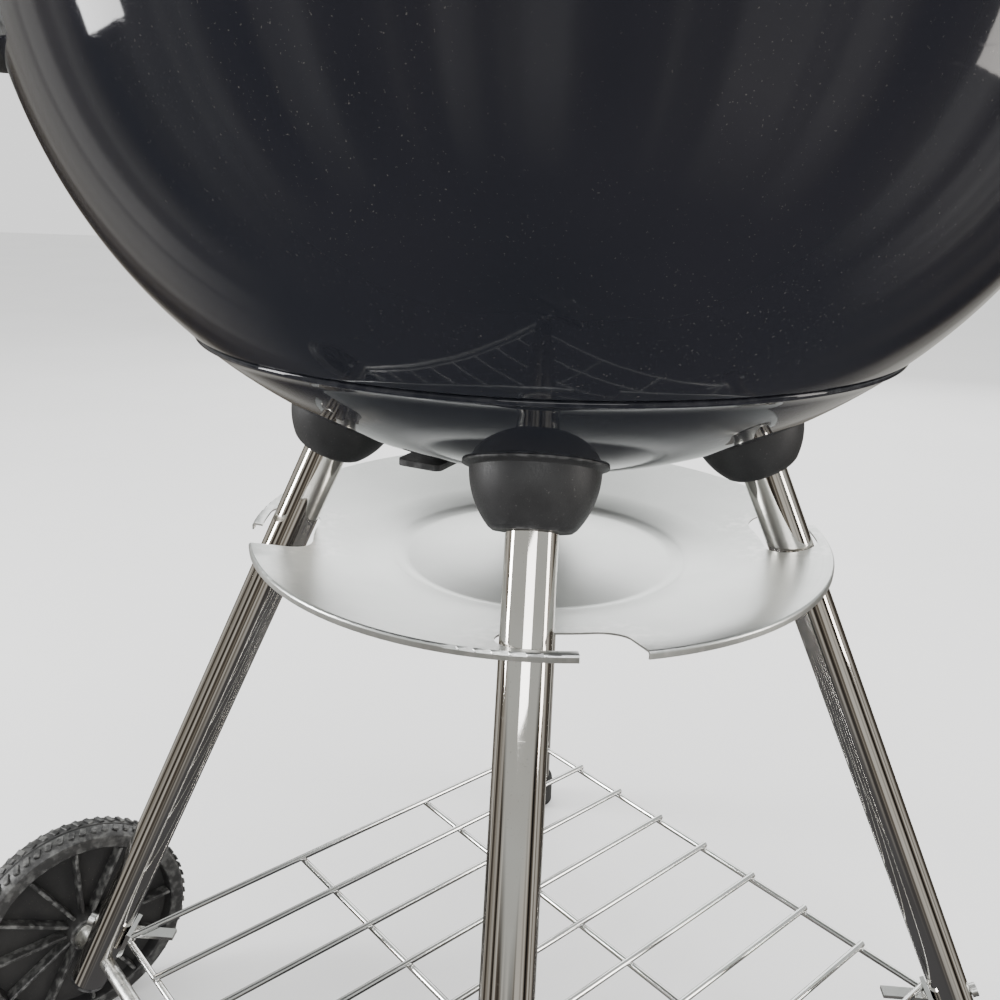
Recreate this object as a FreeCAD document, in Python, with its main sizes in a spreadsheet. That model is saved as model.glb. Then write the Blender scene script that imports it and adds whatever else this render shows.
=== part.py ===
import FreeCAD, Part
import math
import os
import Sketcher
from FreeCAD import Placement, Rotation, Vector

# Kettle charcoal grill on four splayed tube legs.
# Origin on the floor at the middle of the whole grill's footprint, +Z up, millimetres.
# The pieces are made round the bowl's own middle, and all are moved together at the end.
# The legs stand at -Y (front), +X (right), +Y (back) and -X (left).
SIZES = {
    # bowl: pressed and enamelled sheet steel
    "rim_radius": 270,
    "rim_height": 735,
    "rim_roll": 4,
    "side_arc": 240,
    "step_radius": 192,
    "step_inset": 2.5,
    "step_drop": 3,
    "pan_height": 475,
    "steel_sheet": 1.5,
    # lid
    "lid_shoulder_arc": 150,
    "lid_shoulder_angle": 50,
    "lid_skirt_depth": 14,
    "lid_gap": 0.3,
    # legs
    "leg_diameter": 25.4,
    "leg_wall": 1.2,
    "leg_splay": 24.5,
    "leg_circle": 147,
    "cup_flange": 70,
    "cup_mouth": 63,
    "cup_neck": 38,
    "cup_height": 30,
    "bolt_diameter": 6,
    # ash catcher: spun aluminium
    "ash_height": 430,
    "ash_radius": 170,
    "ash_sheet": 1,
    "ash_lip": 4,
    "ash_fall": 15,
    "bead_outer": 90,
    "bead_inner": 78,
    "notch_turn": 13.5,
    # bottom rack of welded wire
    "rack_height": 103,
    "rack_half_long": 203,
    "rack_half_short": 192,
    "rack_wire": 4.5,
    "rack_inner_bar": 61,
    # wheels and axle
    "wheel_radius": 80,
    "wheel_width": 40,
    "wheel_offset": 31,
    "axle_diameter": 10,
    # grates
    "grate_radius": 256,
    "grate_wire": 4,
    "grate_pitch": 18,
    "coal_grate_radius": 196,
    # dampers
    "damper_radius": 58,
    "vent_radius": 11,
    "vent_circle": 34,
    # handles
    "grip_diameter": 26,
    "grip_length": 120,
    "grip_reach": 52,
    # the wheels reach this much further to the front left, shared between both sides
    "footprint_shift": 19.9,
}

doc = FreeCAD.newDocument("kettle_grill")
sheet = doc.addObject("Spreadsheet::Sheet", "Sizes")
for row, (alias, number) in enumerate(SIZES.items(), start=1):
    sheet.set("A%d" % row, alias)
    sheet.set("B%d" % row, str(number))
    sheet.setAlias("B%d" % row, alias)
doc.recompute()

finished = {}
LEG_AZIMUTH = {"front": -90, "right": 0, "back": 90, "left": 180}
WHEEL_LEGS = ("left", "front")
UP = Vector(0, 0, 1)


def size(alias):
    return float(sheet.get(alias))


def keep(name, thing):
    """Name a finished sub-part; its label becomes the name of its file."""
    thing.Label = name
    finished[name] = thing
    return thing


def turned(direction):
    """Rotation that carries +Z onto a direction."""
    return Rotation(UP, direction)


def cylinder(name, radius, height, place):
    rod = doc.addObject("Part::Cylinder", name)
    rod.setExpression("Radius", radius)
    rod.setExpression("Height", height)
    rod.Placement = place
    return rod


def ball(name, radius, centre):
    sphere = doc.addObject("Part::Sphere", name)
    sphere.Radius = radius
    sphere.Placement = Placement(centre, Rotation())
    return sphere


def block(name, length, width, height, place):
    """Box whose local origin is the middle of its lower face."""
    box = doc.addObject("Part::Box", name)
    box.Length = length
    box.Width = width
    box.Height = height
    box.Placement = place.multiply(Placement(Vector(-length / 2, -width / 2, 0), Rotation()))
    return box


def fused(name, pieces):
    union = doc.addObject("Part::MultiFuse", name)
    union.Shapes = pieces
    return union


def cut(name, base, tools):
    result = doc.addObject("Part::Cut", name)
    result.Base = base
    result.Tool = tools[0] if len(tools) == 1 else fused(name + "_tools", tools)
    return result


def joined_in_turn(name, pieces):
    """Fuse pieces one after another, which suits welded bars that cross at odd angles."""
    result = pieces[0]
    for piece in pieces[1:]:
        union = doc.addObject("Part::Fuse", name + "_joint")
        union.Base = result
        union.Tool = piece
        result = union
    return result


def common(name, base, tool):
    result = doc.addObject("Part::Common", name)
    result.Base = base
    result.Tool = tool
    return result


def origin_plane(body, role):
    return [feature for feature in body.Origin.OriginFeatures if feature.Role == role][0]


def new_sketch(body, name, role):
    sketch = body.newObject("Sketcher::SketchObject", name)
    sketch.AttachmentSupport = [(origin_plane(body, role), "")]
    sketch.MapMode = "FlatFace"
    return sketch


def draw(sketch, start, steps):
    """Closed outline: a step is an end point, or a middle point and an end point of an arc."""
    here = Vector(start[0], start[1], 0)
    for step in steps:
        if len(step) == 2:
            end = Vector(step[0], step[1], 0)
            sketch.addGeometry(Part.LineSegment(here, end))
        else:
            middle = Vector(step[0], step[1], 0)
            end = Vector(step[2], step[3], 0)
            sketch.addGeometry(Part.Arc(here, middle, end))
        here = end


def pin(sketch, edge, end, across, upward=None):
    """Hold one end of an edge at distances from the origin that come from the sheet."""
    ends = {1: "StartPoint", 2: "EndPoint"}
    point = getattr(sketch.Geometry[edge], ends[end])
    index = sketch.addConstraint(Sketcher.Constraint("DistanceX", -1, 1, edge, end, point.x))
    sketch.setExpression("Constraints[%d]" % index, across)
    if upward:
        index = sketch.addConstraint(Sketcher.Constraint("DistanceY", -1, 1, edge, end, point.y))
        sketch.setExpression("Constraints[%d]" % index, upward)


def turned_body(name, start, steps, pins):
    """Body revolved about its own Z axis from an outline in its XZ plane."""
    body = doc.addObject("PartDesign::Body", name + "_body")
    sketch = new_sketch(body, name + "_outline", "XZ_Plane")
    draw(sketch, start, steps)
    for held in pins:
        pin(sketch, *held)
    turn = body.newObject("PartDesign::Revolution", name + "_turn")
    turn.Profile = sketch
    turn.ReferenceAxis = (sketch, ["V_Axis"])
    turn.Angle = 360
    body.Tip = turn
    return body


def on_arc(centre, radius, degrees):
    """Point on an arc of an outline, as across and upward."""
    angle = math.radians(degrees)
    return (centre[0] + radius * math.cos(angle), centre[1] + radius * math.sin(angle))


def azimuth_vector(degrees, distance=1.0, height=0.0):
    angle = math.radians(degrees)
    return Vector(distance * math.cos(angle), distance * math.sin(angle), height)


# ---------------------------------------------------------------- bowl shape
# The wall is an arc tangent to the upright rim; below the step the pan is part of a sphere.
SHEET = size("steel_sheet")
SIDE_CENTRE = (size("rim_radius") - size("side_arc"), size("rim_height") - 2 * size("rim_roll"))
STEP_HEIGHT = SIDE_CENTRE[1] - math.sqrt(
    size("side_arc") ** 2 - (size("step_radius") - SIDE_CENTRE[0]) ** 2)
PAN_EDGE = (size("step_radius") - size("step_inset"), STEP_HEIGHT - size("step_drop"))
PAN_RISE = PAN_EDGE[1] - size("pan_height")
PAN_SPHERE = (PAN_EDGE[0] ** 2 + PAN_RISE ** 2) / (2 * PAN_RISE)
PAN_CENTRE = Vector(0, 0, size("pan_height") + PAN_SPHERE)

# ----------------------------------------------------------------- leg lines
# Each leg's axis crosses the ash catcher's rim height on leg_circle and climbs inwards to the pan.
SPLAY = math.radians(size("leg_splay"))


def leg_climb():
    """Length of a leg's axis from the ash catcher's rim height up to the outside of the pan."""
    across = size("leg_circle")
    below = size("ash_height") - PAN_CENTRE.z
    half = -across * math.sin(SPLAY) + below * math.cos(SPLAY)
    rest = across ** 2 + below ** 2 - PAN_SPHERE ** 2
    return -half - math.sqrt(half ** 2 - rest)


CLIMB = leg_climb()
LEG_TO_FLOOR = CLIMB + size("ash_height") / math.cos(SPLAY)


def leg_radius(height):
    """Distance of a leg's axis from the middle of the grill at a height."""
    return size("leg_circle") + (size("ash_height") - height) * math.tan(SPLAY)


def leg_frame(leg, down=0.0):
    """Placement on a leg's axis: +Z runs down the leg, and zero is the outside of the pan."""
    azimuth = LEG_AZIMUTH[leg]
    along = azimuth_vector(azimuth, math.sin(SPLAY), -math.cos(SPLAY))
    foot = azimuth_vector(azimuth, size("leg_circle"), size("ash_height"))
    spin = Rotation(azimuth_vector(azimuth + 90), azimuth_vector(azimuth + 90).cross(along) * -1,
                    along, "ZXY")
    return Placement(foot + along * (down - CLIMB), spin)


def axle_line():
    """Ends of the axle where it crosses the two wheel legs' axes."""
    height = size("wheel_radius")
    reach = leg_radius(height)
    left = azimuth_vector(LEG_AZIMUTH["left"], reach, height)
    front = azimuth_vector(LEG_AZIMUTH["front"], reach, height)
    return left, front


AXLE_LEFT, AXLE_FRONT = axle_line()
AXLE_WAY = (AXLE_FRONT - AXLE_LEFT).normalize()


def outline_offset(offset):
    """Step, pan edge and bottom of the bowl's skin, moved inwards by an offset."""
    arc = size("side_arc") - offset
    across = size("step_radius") - offset
    step = (across, SIDE_CENTRE[1] - math.sqrt(arc ** 2 - (across - SIDE_CENTRE[0]) ** 2))
    pan = PAN_SPHERE - offset
    edge_across = PAN_EDGE[0] - offset
    edge = (edge_across, PAN_CENTRE.z - math.sqrt(pan ** 2 - edge_across ** 2))
    bottom = (0, PAN_CENTRE.z - pan)
    return step, edge, bottom, arc, pan


def make_bowl():
    """Deep bowl with a rolled rim, a pressed step and a shallow pan with holes for air and bolts."""
    rim = size("rim_radius")
    top = size("rim_height")
    roll = size("rim_roll")
    step, edge, bottom, arc, pan = outline_offset(0)
    in_step, in_edge, in_bottom, in_arc, in_pan = outline_offset(SHEET)
    slope = math.degrees(math.asin(edge[0] / pan))
    half_pan = on_arc((0, PAN_CENTRE.z), pan, -90 + slope / 2)
    half_in_pan = on_arc((0, PAN_CENTRE.z), in_pan, -90 + slope / 2)
    half_side = on_arc(SIDE_CENTRE, arc, -25)
    half_in_side = on_arc(SIDE_CENTRE, in_arc, -25)
    steps = [(*half_pan, *edge), step, (*half_side, rim, SIDE_CENTRE[1]),
             (rim + roll, top - roll, rim, top), (rim - SHEET, top), (rim - SHEET, SIDE_CENTRE[1]),
             (*half_in_side, *in_step), in_edge, (*half_in_pan, *in_bottom), bottom]
    body = turned_body("bowl", bottom, steps, [
        (2, 2, "Sizes.rim_radius", "Sizes.rim_height - 2 * Sizes.rim_roll"),
        (3, 2, "Sizes.rim_radius", "Sizes.rim_height"),
        (4, 2, "Sizes.rim_radius - Sizes.steel_sheet", "Sizes.rim_height")])
    vents = new_sketch(body, "bowl_vents", "XY_Plane")
    vents.addGeometry(Part.Circle(Vector(size("vent_circle"), 0, 0), UP, size("vent_radius")))
    index = vents.addConstraint(Sketcher.Constraint("Radius", 0, size("vent_radius")))
    vents.setExpression("Constraints[%d]" % index, "Sizes.vent_radius")
    pocket = body.newObject("PartDesign::Pocket", "bowl_vent")
    pocket.Profile = vents
    pocket.Type = 0
    pocket.Length = size("pan_height") + 40
    pocket.Reversed = True
    ring = body.newObject("PartDesign::PolarPattern", "bowl_vent_ring")
    ring.Originals = [pocket]
    ring.Axis = (vents, ["N_Axis"])
    ring.Angle = 360
    ring.Occurrences = 3
    body.Tip = ring
    holes = []
    for leg in LEG_AZIMUTH:
        holes.append(cylinder("bowl_bolt_hole_" + leg, "Sizes.bolt_diameter / 2 + 0.3", "20",
                              leg_frame(leg, -10)))
    holes.append(cylinder("bowl_rivet_hole", "3.1", str(PAN_SPHERE * 1.2), PAN_FRAME))
    for name in ("right_handle", "left_handle"):
        for place in handle_screw_places(*HANDLES[name]):
            holes.append(screw_hole(place))
    return keep("kettle_bowl", cut("kettle_bowl", body, holes))


# ----------------------------------------------------------------- the stand
def make_cup(leg):
    """Moulded black cup that seats a leg against the pan, its rim shaped to the pan."""
    flange = size("cup_flange") / 2
    mouth = size("cup_mouth") / 2
    neck = size("cup_neck") / 2
    height = size("cup_height")
    bore = size("leg_diameter") / 2 + 0.15
    bolt = size("bolt_diameter") / 2 + 0.2
    seat = 6
    belly = (mouth + neck) / 2 + 3.6
    corner = 1.5
    steps = [(flange, -8), (flange, -0.9), (mouth + 0.8, 0.2), (mouth, 1.2),
             (belly, height / 2, neck + 2, height - corner), (neck, height),
             (bore, height), (bore, seat), (bolt, seat), (bolt, -8)]
    body = turned_body("cup_" + leg, (bolt, -8), steps, [
        (1, 2, "Sizes.cup_flange / 2"), (3, 2, "Sizes.cup_mouth / 2"),
        (5, 2, "Sizes.cup_neck / 2", "Sizes.cup_height")])
    body.Placement = leg_frame(leg)
    pan = ball("cup_seat_" + leg, PAN_SPHERE + 0.15, PAN_CENTRE)
    return keep("leg_cup_" + leg, cut("leg_cup_" + leg, body, [pan]))


LEG_TOP = 6.5
FOOT_END = 12


def leg_bottom(leg):
    """How far down its own axis a leg tube ends."""
    if leg in WHEEL_LEGS:
        return LEG_TO_FLOOR - (size("wheel_radius") - 22) / math.cos(SPLAY)
    return LEG_TO_FLOOR - FOOT_END


def rack_bolt_frame(leg):
    """Placement of a rack bolt: +Z runs outwards, square to the leg, at the rack's height."""
    down = LEG_TO_FLOOR - size("rack_height") / math.cos(SPLAY)
    place = leg_frame(leg, down)
    along = place.Rotation.multVec(UP)
    outward = azimuth_vector(LEG_AZIMUTH[leg])
    square = (outward - along * outward.dot(along)).normalize()
    return Placement(place.Base, turned(square))


def make_leg(leg):
    """Chromed steel tube with holes for its rack bolt and, at the wheels, the axle."""
    length = leg_bottom(leg) - LEG_TOP
    outer = cylinder("leg_outer_" + leg, "Sizes.leg_diameter / 2", str(length),
                     leg_frame(leg, LEG_TOP))
    tools = [cylinder("leg_inner_" + leg, "Sizes.leg_diameter / 2 - Sizes.leg_wall",
                      str(length + 2), leg_frame(leg, LEG_TOP - 1))]
    bolt = rack_bolt_frame(leg)
    start = bolt.multiply(Placement(Vector(0, 0, -20), Rotation()))
    tools.append(cylinder("leg_rack_hole_" + leg, "2.6", "40", start))
    if leg in WHEEL_LEGS:
        centre = AXLE_LEFT if leg == "left" else AXLE_FRONT
        tools.append(cylinder("leg_axle_hole_" + leg, "Sizes.axle_diameter / 2 + 0.1", "60",
                              Placement(centre - AXLE_WAY * 30, turned(AXLE_WAY))))
    return keep("leg_" + leg, cut("leg_" + leg, outer, tools))


def make_leg_bolts():
    """Four bolts from inside the bowl through the pan and cups into the inserts in the legs."""
    bolts = []
    for leg in LEG_AZIMUTH:
        seat = SHEET + 0.5
        head = doc.addObject("Part::Prism", "leg_bolt_head_" + leg)
        head.Polygon = 6
        head.setExpression("Circumradius", "Sizes.bolt_diameter")
        head.Height = 4
        head.Placement = leg_frame(leg, -seat - 5.2)
        washer = cylinder("leg_bolt_washer_" + leg, "8", "1.2", leg_frame(leg, -seat - 1.2))
        shank = cylinder("leg_bolt_shank_" + leg, "Sizes.bolt_diameter / 2", str(seat + 26),
                         leg_frame(leg, -seat))
        bolts.append(fused("leg_bolt_" + leg, [head, washer, shank]))
    group = doc.addObject("Part::Compound", "leg_bolts")
    group.Links = bolts
    return keep("leg_bolts", group)


def make_leg_inserts():
    """Four threaded plastic inserts pressed into the tops of the leg tubes."""
    inserts = []
    for leg in LEG_AZIMUTH:
        plug = cylinder("insert_plug_" + leg, "Sizes.leg_diameter / 2 - Sizes.leg_wall - 0.05",
                        "24", leg_frame(leg, LEG_TOP))
        bore = cylinder("insert_bore_" + leg, "Sizes.bolt_diameter / 2 + 0.05", "26",
                        leg_frame(leg, LEG_TOP - 1))
        inserts.append(cut("insert_" + leg, plug, [bore]))
    group = doc.addObject("Part::Compound", "leg_inserts")
    group.Links = inserts
    return keep("leg_inserts", group)


def make_foot(leg):
    """Rubber foot cap pushed over a leg without a wheel, its sole flat on the floor."""
    cap = cylinder("foot_outer_" + leg, "Sizes.leg_diameter / 2 + 3.5", "60",
                   leg_frame(leg, LEG_TO_FLOOR - 38))
    bore = cylinder("foot_bore_" + leg, "Sizes.leg_diameter / 2 + 0.1", "40",
                    leg_frame(leg, LEG_TO_FLOOR - FOOT_END + 0.2 - 40))
    below = azimuth_vector(LEG_AZIMUTH[leg], leg_radius(0), -60)
    floor = block("foot_floor_" + leg, 120, 120, 60, Placement(below, Rotation()))
    return keep("foot_cap_" + leg, cut("foot_cap_" + leg, cap, [bore, floor]))


def make_leg_plug(leg):
    """Black plug in the open lower end of a wheel leg."""
    end = leg_bottom(leg)
    stem = cylinder("plug_stem_" + leg, "Sizes.leg_diameter / 2 - Sizes.leg_wall - 0.05", "12",
                    leg_frame(leg, end - 12))
    head = cylinder("plug_head_" + leg, "Sizes.leg_diameter / 2", "3", leg_frame(leg, end + 0.1))
    neck = cylinder("plug_neck_" + leg, "Sizes.leg_diameter / 2 - Sizes.leg_wall - 0.5", "4",
                    leg_frame(leg, end - 2))
    return keep("leg_plug_" + leg, fused("leg_plug_" + leg, [stem, neck, head]))


# --------------------------------------------------------------- ash catcher
def make_ash_catcher():
    """Spun aluminium dish with a turned-down rim and four hooked notches for the legs."""
    rim = size("ash_radius")
    top = size("ash_height")
    sheet_t = size("ash_sheet")
    outer = size("bead_outer")
    inner = size("bead_inner")
    fall = top - size("ash_fall")
    dip = fall - 3.5
    rise = 5
    dome = dip + rise
    sphere = (inner ** 2 + rise ** 2) / (2 * rise)
    halfway = 90 - math.degrees(math.asin(inner / sphere)) / 2
    half_top = on_arc((0, dome - sphere), sphere, halfway)
    half_under = on_arc((0, dome - sheet_t - sphere), sphere, halfway)
    steps = [(*half_top, inner, dip), (inner + 2, dip - 0.2),
             ((inner + outer) / 2 + 1, fall - 2.4, outer, fall), (rim - 1.5, top),
             (rim - 0.45, top - 0.45, rim, top - 1.5), (rim, top - size("ash_lip")),
             (rim - sheet_t, top - size("ash_lip")), (rim - sheet_t, top - 2),
             (rim - 1.8, top - sheet_t - 0.2), (outer, fall - sheet_t),
             ((inner + outer) / 2 + 1, fall - 2.4 - sheet_t, inner + 2, dip - 0.2 - sheet_t),
             (inner, dip - sheet_t), (*half_under, 0, dome - sheet_t), (0, dome)]
    body = turned_body("ash", (0, dome), steps, [
        (5, 2, "Sizes.ash_radius", "Sizes.ash_height - Sizes.ash_lip")])
    notch = new_sketch(body, "ash_notch_outline", "XY_Plane")
    circle = size("leg_circle") + 2
    half = size("leg_diameter") / 2 / math.cos(SPLAY) + 1.0
    turn = size("notch_turn")
    tail = math.degrees(half / circle)
    hook = turn - tail + 0.6

    def polar(radius, degrees):
        spot = azimuth_vector(LEG_AZIMUTH["front"] + degrees, radius)
        return (spot.x, spot.y)

    clear = rim + 12
    draw(notch, polar(circle + half, 0), [
        (*polar(circle, -tail), *polar(circle - half, 0)),
        (*polar(circle - half, turn / 2), *polar(circle - half, turn)),
        (*polar(circle - half * 0.707, turn + tail * 0.707), *polar(circle, turn + tail)),
        polar(clear, turn + tail), polar(clear, hook), polar(circle + half, hook),
        (*polar(circle + half, hook / 2), *polar(circle + half, 0))])
    pocket = body.newObject("PartDesign::Pocket", "ash_notch")
    pocket.Profile = notch
    pocket.Type = 0
    pocket.setExpression("Length", "Sizes.ash_height + 10")
    pocket.Reversed = True
    ring = body.newObject("PartDesign::PolarPattern", "ash_notch_ring")
    ring.Originals = [pocket]
    ring.Axis = (notch, ["N_Axis"])
    ring.Angle = 360
    ring.Occurrences = 4
    body.Tip = ring
    return keep("ash_catcher", body)


# --------------------------------------------------------------- bottom rack
def rack_point(across, along, height):
    """Point of the rack: its long wires run to the back right, its cross wires to the front right."""
    return azimuth_vector(-45) * across + azimuth_vector(45) * along + Vector(0, 0, height)


def rod_between(name, start, end, radius):
    """Straight wire between two points."""
    way = end - start
    return cylinder(name, radius, str(way.Length), Placement(start, turned(way)))


def make_rack():
    """Bottom rack: a wire frame, nine long wires over two cross wires, and four bolt lugs."""
    height = size("rack_height")
    far = size("rack_half_long")
    side = size("rack_half_short")
    wire = "Sizes.rack_wire / 2"
    bar = size("rack_inner_bar")
    pieces = []
    over = 2
    for index in range(9):
        across = -side + index * side / 4
        pieces.append(rod_between("rack_long_wire", rack_point(across, -far - over, height),
                                  rack_point(across, far + over, height), wire))
    below = height - size("rack_wire") * 0.8
    for along in (-far, -bar, bar, far):
        pieces.append(rod_between("rack_cross_wire", rack_point(-side - over, along, below),
                                  rack_point(side + over, along, below), wire))
    pieces = [fused("rack_grid", pieces)]
    for leg in LEG_AZIMUTH:
        bolt = rack_bolt_frame(leg)
        lug = doc.addObject("Part::Box", "rack_lug_" + leg)
        lug.Length = 22
        lug.Width = 22
        lug.Height = 3
        back = size("leg_diameter") / 2 + 0.2 + 3
        lug.Placement = bolt.multiply(Placement(Vector(-11, -11, -back), Rotation()))
        hole = cylinder("rack_lug_hole_" + leg, "2.7", "12",
                        bolt.multiply(Placement(Vector(0, 0, -back - 4), Rotation())))
        pieces.append(cut("rack_lug_drilled_" + leg, lug, [hole]))
        inner = math.hypot(far, side) - 30
        outer = leg_radius(height) - (size("leg_diameter") / 2 + 1.7) / math.cos(SPLAY)
        strap = Placement(azimuth_vector(LEG_AZIMUTH[leg], (inner + outer) / 2, height - 3),
                          Rotation(UP, LEG_AZIMUTH[leg]))
        pieces.append(block("rack_strap_" + leg, outer - inner, 9, 2.6, strap))
    return keep("wire_shelf", joined_in_turn("wire_shelf", pieces))


def make_rack_bolts():
    """Four small bolts with domed nuts that hold the rack's lugs to the legs."""
    bolts = []
    for leg in LEG_AZIMUTH:
        bolt = rack_bolt_frame(leg)
        back = size("leg_diameter") / 2 + 3.5
        front = size("leg_diameter") / 2 + 0.3
        head = cylinder("rack_bolt_head_" + leg, "4.5", "3",
                        bolt.multiply(Placement(Vector(0, 0, -back - 3), Rotation())))
        shank = cylinder("rack_bolt_shank_" + leg, "2.5", str(back + front + 2),
                         bolt.multiply(Placement(Vector(0, 0, -back - 1), Rotation())))
        nut = cylinder("rack_bolt_nut_" + leg, "4.5", "4",
                       bolt.multiply(Placement(Vector(0, 0, front), Rotation())))
        bolts.append(fused("rack_bolt_" + leg, [head, shank, nut]))
    group = doc.addObject("Part::Compound", "shelf_bolts")
    group.Links = bolts
    return keep("shelf_bolts", group)


# -------------------------------------------------------------------- wheels
AXLE_OVERHANG = 74


def make_axle():
    """Steel axle through the feet of the left and front legs."""
    start = AXLE_LEFT - AXLE_WAY * AXLE_OVERHANG
    end = AXLE_FRONT + AXLE_WAY * AXLE_OVERHANG
    return keep("axle", rod_between("axle", start, end, "Sizes.axle_diameter / 2"))


def wheel_frame(leg):
    """Placement of a wheel: its middle, with +Z pointing away from the grill."""
    if leg == "left":
        out = AXLE_WAY * -1
        centre = AXLE_LEFT
    else:
        out = AXLE_WAY
        centre = AXLE_FRONT
    reach = size("wheel_offset") + size("wheel_width") / 2 - 8
    return Placement(centre + out * reach, turned(out))


def make_wheel(leg):
    """Moulded black wheel with a dished web, a long hub and a rounded tread."""
    radius = size("wheel_radius")
    half = size("wheel_width") / 2
    bore = size("axle_diameter") / 2 + 0.08
    steps = [(bore + 8, -half), (bore + 9, -4), (radius - 15, -4), (radius - 13, -half + 6),
             (radius - 4, -half + 6), (radius - 1.96, -half / 2, radius, 0),
             (radius - 1.96, half / 2, radius - 4, half - 6), (radius - 13, half - 6),
             (radius - 15, 4), (bore + 9, 4), (bore + 8, half), (bore, half), (bore, -half)]
    body = turned_body("wheel_" + leg, (bore, -half), steps, [
        (12, 1, "Sizes.axle_diameter / 2 + 0.08"), (5, 2, "Sizes.wheel_radius")])
    body.Placement = wheel_frame(leg)
    return keep("wheel_" + leg, body)


def make_wheel_cap(leg):
    """Domed push cap on the end of the axle."""
    half = size("wheel_width") / 2 + 0.6
    radius = size("axle_diameter") / 2
    depth = wheel_frame(leg).Base.distanceToPoint(
        AXLE_LEFT if leg == "left" else AXLE_FRONT)
    stop = AXLE_OVERHANG - depth + 0.2
    steps = [(11.5, half), (11.5, half + 2.5), (9, half + 4), (9, stop + 1), (7, stop + 3),
             (0, stop + 3), (0, stop), (radius + 0.1, stop), (radius + 0.1, half)]
    body = turned_body("wheel_cap_" + leg, (radius + 0.1, half), steps, [
        (8, 1, "Sizes.axle_diameter / 2 + 0.1")])
    body.Placement = wheel_frame(leg)
    return keep("wheel_cap_" + leg, body)


def make_axle_washers():
    """Plain washers between the wheel legs and the wheels."""
    washers = []
    for leg in WHEEL_LEGS:
        place = wheel_frame(leg)
        start = -size("wheel_width") / 2 - 2.2
        disc = cylinder("washer_disc_" + leg, "11", "1.6",
                        place.multiply(Placement(Vector(0, 0, start), Rotation())))
        hole = cylinder("washer_hole_" + leg, "Sizes.axle_diameter / 2 + 0.1", "4",
                        place.multiply(Placement(Vector(0, 0, start - 1), Rotation())))
        washers.append(cut("washer_" + leg, disc, [hole]))
    group = doc.addObject("Part::Compound", "axle_washers")
    group.Links = washers
    return keep("axle_washers", group)


# --------------------------------------------------------------------- grates
COOK_HEIGHT = size("rim_height") - 26
COAL_HEIGHT = size("rim_height") - 130


def make_grate(name, radius, height, pitch, wire):
    """Round grate: a ring, parallel wires and two cross bars, welded into one piece."""
    thick = wire / 2
    pieces = []
    ring = doc.addObject("Part::Torus", name + "_ring")
    ring.Radius1 = radius - thick * 1.4
    ring.Radius2 = thick * 1.4
    ring.Placement = Placement(Vector(0, 0, height), Rotation())
    pieces.append(ring)
    count = int((radius - pitch * 0.6) // pitch)
    for index in range(-count, count + 1):
        across = index * pitch
        half = math.sqrt((radius - thick * 1.4) ** 2 - across ** 2)
        pieces.append(rod_between(name + "_wire", Vector(across, -half, height),
                                  Vector(across, half, height), str(thick)))
    for along in (-radius * 0.45, radius * 0.45):
        half = math.sqrt((radius - thick * 1.4) ** 2 - along ** 2)
        low = height - wire * 0.85
        pieces.append(rod_between(name + "_bar", Vector(-half + 1, along, low),
                                  Vector(half - 1, along, low), str(thick)))
    return keep(name, fused(name, pieces))


def wall_radius(height):
    """Inside radius of the bowl's wall at a height above the step."""
    drop = SIDE_CENTRE[1] - height
    arc = size("side_arc") - SHEET
    return SIDE_CENTRE[0] + math.sqrt(arc ** 2 - max(drop, 0) ** 2)


def make_grate_rests():
    """Eight small steel ledges spot-welded inside the bowl, four under each grate."""
    ledges = []
    for top, reach, first in ((COOK_HEIGHT - 3.2, size("grate_radius"), 45),
                              (COAL_HEIGHT - 4, size("coal_grate_radius"), 22.5)):
        for quarter in range(4):
            azimuth = first + 90 * quarter
            outer = wall_radius(top - 2) - 1.0
            inner = reach - 14
            place = Placement(azimuth_vector(azimuth, (outer + inner) / 2, top - 2),
                              Rotation(UP, azimuth))
            shelf = block("rest_shelf", outer - inner, 20, 2, place)
            ledges.append(shelf)
    group = doc.addObject("Part::Compound", "grate_rests")
    group.Links = ledges
    return keep("grate_rests", group)


# -------------------------------------------------------------------- dampers
def facing(origin, outward, across):
    """Placement with +Z along outward and +X as near as it can be to across."""
    return Placement(origin, Rotation(across, outward.cross(across), outward, "ZXY"))


def make_damper(name, frame, sphere, arm_reach, hole_spots):
    """Thin disc pressed to the shell's own curve, with three air holes and an arm for its tab.

    The frame's origin is the middle of the shell's sphere, +Z its pin and +X its arm.
    """
    gap = 0.35
    thick = 1.2
    tall = str(sphere * 1.2)
    shell = cut(name + "_shell", ball(name + "_outer", sphere + gap + thick, frame.Base),
                [ball(name + "_inner", sphere + gap, frame.Base)])
    disc = cylinder(name + "_disc", "Sizes.damper_radius", tall, frame)
    arm = doc.addObject("Part::Box", name + "_arm")
    arm.Length = arm_reach
    arm.Width = 16
    arm.Height = sphere * 1.2
    arm.Placement = frame.multiply(Placement(Vector(0, -8, 0), Rotation()))
    blank = common(name + "_blank", shell, fused(name + "_plan", [disc, arm]))
    holes = [cylinder(name + "_pin_hole", "3.08", tall, frame)]
    for spot in hole_spots:
        holes.append(cylinder(name + "_hole", "Sizes.vent_radius", tall, spot))
    return keep(name, cut(name, blank, holes))


def make_rivet(name, frame, skin):
    """Rivet through a shell of a given outside radius and its damper, with a head on each side."""
    outer = cylinder(name + "_outer", "7", "2", frame.multiply(Placement(
        Vector(0, 0, skin + 2), Rotation())))
    shank = cylinder(name + "_shank", "3", "8", frame.multiply(Placement(
        Vector(0, 0, skin - 4.2), Rotation())))
    inner = cylinder(name + "_inner", "6", "2", frame.multiply(Placement(
        Vector(0, 0, skin - SHEET - 2.3), Rotation())))
    return keep(name, fused(name, [outer, shank, inner]))


DAMPER_TAB_AZIMUTH = -150
PAN_FRAME = facing(PAN_CENTRE, Vector(0, 0, -1), azimuth_vector(DAMPER_TAB_AZIMUTH))


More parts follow.
